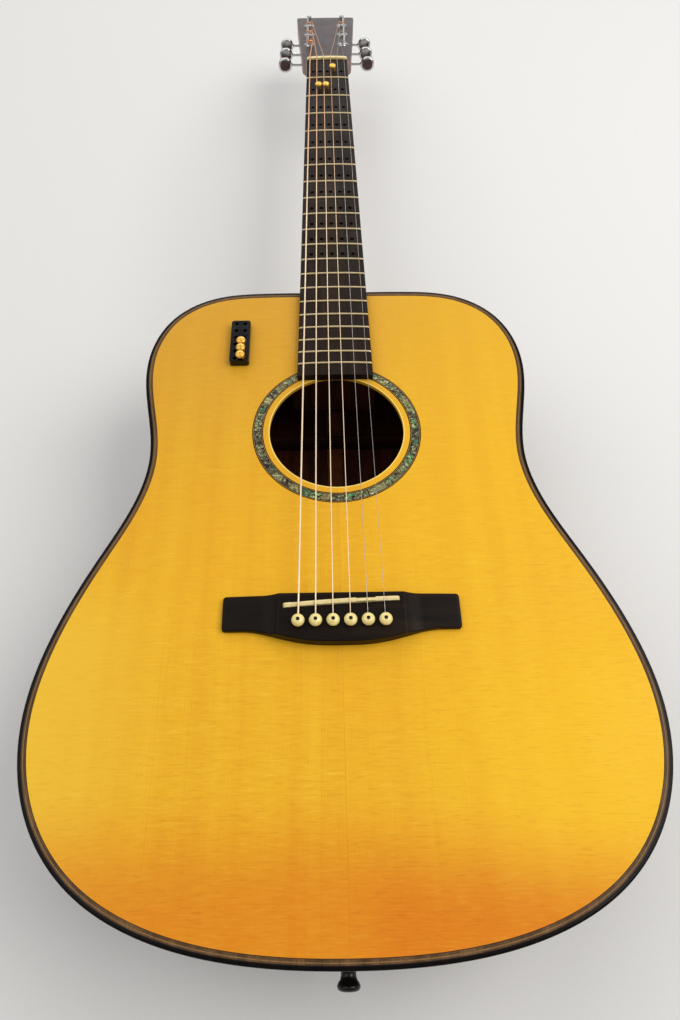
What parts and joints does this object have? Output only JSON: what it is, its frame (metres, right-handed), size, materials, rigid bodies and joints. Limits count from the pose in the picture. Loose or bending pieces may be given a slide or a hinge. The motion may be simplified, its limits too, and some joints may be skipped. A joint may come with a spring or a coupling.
{
  "type": "acoustic guitar",
  "caption": "Square-shouldered steel-string acoustic guitar with belly bridge, drilled fretboard, chord pegs and a peg holder on the soundboard; tuners, pins, pegs and truss rod move.",
  "frame": {"origin": "bottom centre of the whole guitar's bounding box, lying on its back", "axes": "+Z out of the soundboard, +Y towards the headstock, +X towards the treble side"},
  "size_m": [0.3884, 1.0479, 0.1368],
  "materials": {
    "spruce_top": "gloss amber lacquer over vertical-grain spruce",
    "rosewood": "gloss lacquered dark brown wood",
    "binding": "gloss dark binding with pale purfling lines",
    "rosette_inlay": "iridescent shell inlay between fine lines",
    "ebony": "satin, oiled",
    "headstock_veneer": "gloss dark veneer",
    "mahogany": "gloss lacquered reddish brown wood",
    "brace_spruce": "bare sanded spruce",
    "lining_wood": "bare kerfed wood",
    "bone": "polished cream bone",
    "pin_plastic": "cream with a dark dot",
    "bronze_wound": "bronze winding",
    "plain_steel": "plain drawn steel",
    "nickel": "bright nickel plate",
    "truss_steel": "plain steel",
    "brass_peg": "polished yellow metal",
    "black_plastic": "glossy black"
  },
  "bodies": {
    "guitar_body": {"soundboard": "spruce_top", "back_plate": "rosewood", "side_bass": "rosewood", "side_treble": "rosewood", "binding_top": "binding", "binding_back": "binding", "rosette": "rosette_inlay", "bridge": "ebony", "fretboard": "ebony", "end_pin": "ebony", "headstock_veneer": "headstock_veneer", "neck": "mahogany", "neck_block": "mahogany", "tail_block": "mahogany", "bridge_plate": "mahogany", "x_brace": "brace_spruce", "upper_transverse_brace": "brace_spruce", "tone_bar": "brace_spruce", "back_brace_upper": "brace_spruce", "back_brace_waist": "brace_spruce", "back_brace_lower": "brace_spruce", "back_centre_strip": "brace_spruce", "top_lining": "lining_wood", "back_lining": "lining_wood", "nut": "bone", "saddle": "bone", "string_e6": "bronze_wound", "string_a5": "bronze_wound", "string_d4": "bronze_wound", "string_g3": "bronze_wound", "string_b2": "plain_steel", "string_e1": "plain_steel", "tuner_plate_bass": "nickel", "tuner_plate_treble": "nickel", "peg_holder": "black_plastic"},
    "truss_rod": {"truss_rod": "truss_steel"},
    "tuner_button_e6": {"tuner_button_e6": "nickel"},
    "tuner_post_e6": {"tuner_post_e6": "nickel"},
    "bridge_pin_e6": {"bridge_pin_e6": "pin_plastic"},
    "tuner_button_a5": {"tuner_button_a5": "nickel"},
    "tuner_post_a5": {"tuner_post_a5": "nickel"},
    "bridge_pin_a5": {"bridge_pin_a5": "pin_plastic"},
    "tuner_button_d4": {"tuner_button_d4": "nickel"},
    "tuner_post_d4": {"tuner_post_d4": "nickel"},
    "bridge_pin_d4": {"bridge_pin_d4": "pin_plastic"},
    "tuner_button_g3": {"tuner_button_g3": "nickel"},
    "tuner_post_g3": {"tuner_post_g3": "nickel"},
    "bridge_pin_g3": {"bridge_pin_g3": "pin_plastic"},
    "tuner_button_b2": {"tuner_button_b2": "nickel"},
    "tuner_post_b2": {"tuner_post_b2": "nickel"},
    "bridge_pin_b2": {"bridge_pin_b2": "pin_plastic"},
    "tuner_button_e1": {"tuner_button_e1": "nickel"},
    "tuner_post_e1": {"tuner_post_e1": "nickel"},
    "bridge_pin_e1": {"bridge_pin_e1": "pin_plastic"},
    "chord_peg_g_string": {"chord_peg_g_string": "brass_peg"},
    "chord_peg_a_string": {"chord_peg_a_string": "brass_peg"},
    "chord_peg_d_string": {"chord_peg_d_string": "brass_peg"},
    "spare_peg_1": {"spare_peg_1": "brass_peg"},
    "spare_peg_2": {"spare_peg_2": "brass_peg"},
    "spare_peg_3": {"spare_peg_3": "brass_peg"}
  },
  "joints": [
    {"name": "truss_rod_turn", "type": "hinge", "parent": "guitar_body", "child": "truss_rod", "pos_m": [0, 0.08629, 0.11313], "axis": [0, 1, 0], "range_deg": [-180, 180]},
    {"name": "tuner_button_turn_e6", "type": "hinge", "parent": "guitar_body", "child": "tuner_button_e6", "pos_m": [-0.0196, 0.40583, 0.0848], "axis": [1, 0, 0], "continuous": true},
    {"name": "tuner_button_turn_a5", "type": "hinge", "parent": "guitar_body", "child": "tuner_button_a5", "pos_m": [-0.02, 0.44586, 0.07593], "axis": [1, 0, 0], "continuous": true},
    {"name": "tuner_button_turn_d4", "type": "hinge", "parent": "guitar_body", "child": "tuner_button_d4", "pos_m": [-0.0204, 0.48589, 0.06705], "axis": [1, 0, 0], "continuous": true},
    {"name": "tuner_button_turn_g3", "type": "hinge", "parent": "guitar_body", "child": "tuner_button_g3", "pos_m": [0.0204, 0.48589, 0.06705], "axis": [1, 0, 0], "continuous": true},
    {"name": "tuner_button_turn_b2", "type": "hinge", "parent": "guitar_body", "child": "tuner_button_b2", "pos_m": [0.02, 0.44586, 0.07593], "axis": [1, 0, 0], "continuous": true},
    {"name": "tuner_button_turn_e1", "type": "hinge", "parent": "guitar_body", "child": "tuner_button_e1", "pos_m": [0.0196, 0.40583, 0.0848], "axis": [1, 0, 0], "continuous": true},
    {"name": "tuner_post_turn_e6", "type": "hinge", "parent": "guitar_body", "child": "tuner_post_e6", "pos_m": [-0.0196, 0.40253, 0.10684], "axis": [0, 0.2164, 0.9763], "continuous": true},
    {"name": "tuner_post_turn_a5", "type": "hinge", "parent": "guitar_body", "child": "tuner_post_a5", "pos_m": [-0.02, 0.44255, 0.09797], "axis": [0, 0.2164, 0.9763], "continuous": true},
    {"name": "tuner_post_turn_d4", "type": "hinge", "parent": "guitar_body", "child": "tuner_post_d4", "pos_m": [-0.0204, 0.48258, 0.08909], "axis": [0, 0.2164, 0.9763], "continuous": true},
    {"name": "tuner_post_turn_g3", "type": "hinge", "parent": "guitar_body", "child": "tuner_post_g3", "pos_m": [0.0204, 0.48258, 0.08909], "axis": [0, 0.2164, 0.9763], "continuous": true},
    {"name": "tuner_post_turn_b2", "type": "hinge", "parent": "guitar_body", "child": "tuner_post_b2", "pos_m": [0.02, 0.44255, 0.09797], "axis": [0, 0.2164, 0.9763], "continuous": true},
    {"name": "tuner_post_turn_e1", "type": "hinge", "parent": "guitar_body", "child": "tuner_post_e1", "pos_m": [0.0196, 0.40253, 0.10684], "axis": [0, 0.2164, 0.9763], "continuous": true},
    {"name": "bridge_pin_lift_e6", "type": "slide", "parent": "guitar_body", "child": "bridge_pin_e6", "axis": [0, 0, 1], "range_m": [0, 0.03]},
    {"name": "bridge_pin_lift_a5", "type": "slide", "parent": "guitar_body", "child": "bridge_pin_a5", "axis": [0, 0, 1], "range_m": [0, 0.03]},
    {"name": "bridge_pin_lift_d4", "type": "slide", "parent": "guitar_body", "child": "bridge_pin_d4", "axis": [0, 0, 1], "range_m": [0, 0.03]},
    {"name": "bridge_pin_lift_g3", "type": "slide", "parent": "guitar_body", "child": "bridge_pin_g3", "axis": [0, 0, 1], "range_m": [0, 0.03]},
    {"name": "bridge_pin_lift_b2", "type": "slide", "parent": "guitar_body", "child": "bridge_pin_b2", "axis": [0, 0, 1], "range_m": [0, 0.03]},
    {"name": "bridge_pin_lift_e1", "type": "slide", "parent": "guitar_body", "child": "bridge_pin_e1", "axis": [0, 0, 1], "range_m": [0, 0.03]},
    {"name": "chord_peg_g_string_lift", "type": "slide", "parent": "guitar_body", "child": "chord_peg_g_string", "axis": [0, 0, 1], "range_m": [0, 0.02]},
    {"name": "chord_peg_a_string_lift", "type": "slide", "parent": "guitar_body", "child": "chord_peg_a_string", "axis": [0, 0, 1], "range_m": [0, 0.02]},
    {"name": "chord_peg_d_string_lift", "type": "slide", "parent": "guitar_body", "child": "chord_peg_d_string", "axis": [0, 0, 1], "range_m": [0, 0.02]},
    {"name": "spare_peg_1_lift", "type": "slide", "parent": "guitar_body", "child": "spare_peg_1", "axis": [0, 0, 1], "range_m": [0, 0.02]},
    {"name": "spare_peg_2_lift", "type": "slide", "parent": "guitar_body", "child": "spare_peg_2", "axis": [0, 0, 1], "range_m": [0, 0.02]},
    {"name": "spare_peg_3_lift", "type": "slide", "parent": "guitar_body", "child": "spare_peg_3", "axis": [0, 0, 1], "range_m": [0, 0.02]}
  ],
  "couplings": [
    {"joint": "tuner_post_turn_e6", "follows": "tuner_button_turn_e6", "ratio": -0.071429},
    {"joint": "tuner_post_turn_a5", "follows": "tuner_button_turn_a5", "ratio": -0.071429},
    {"joint": "tuner_post_turn_d4", "follows": "tuner_button_turn_d4", "ratio": -0.071429},
    {"joint": "tuner_post_turn_g3", "follows": "tuner_button_turn_g3", "ratio": -0.071429},
    {"joint": "tuner_post_turn_b2", "follows": "tuner_button_turn_b2", "ratio": -0.071429},
    {"joint": "tuner_post_turn_e1", "follows": "tuner_button_turn_e1", "ratio": -0.071429}
  ]
}
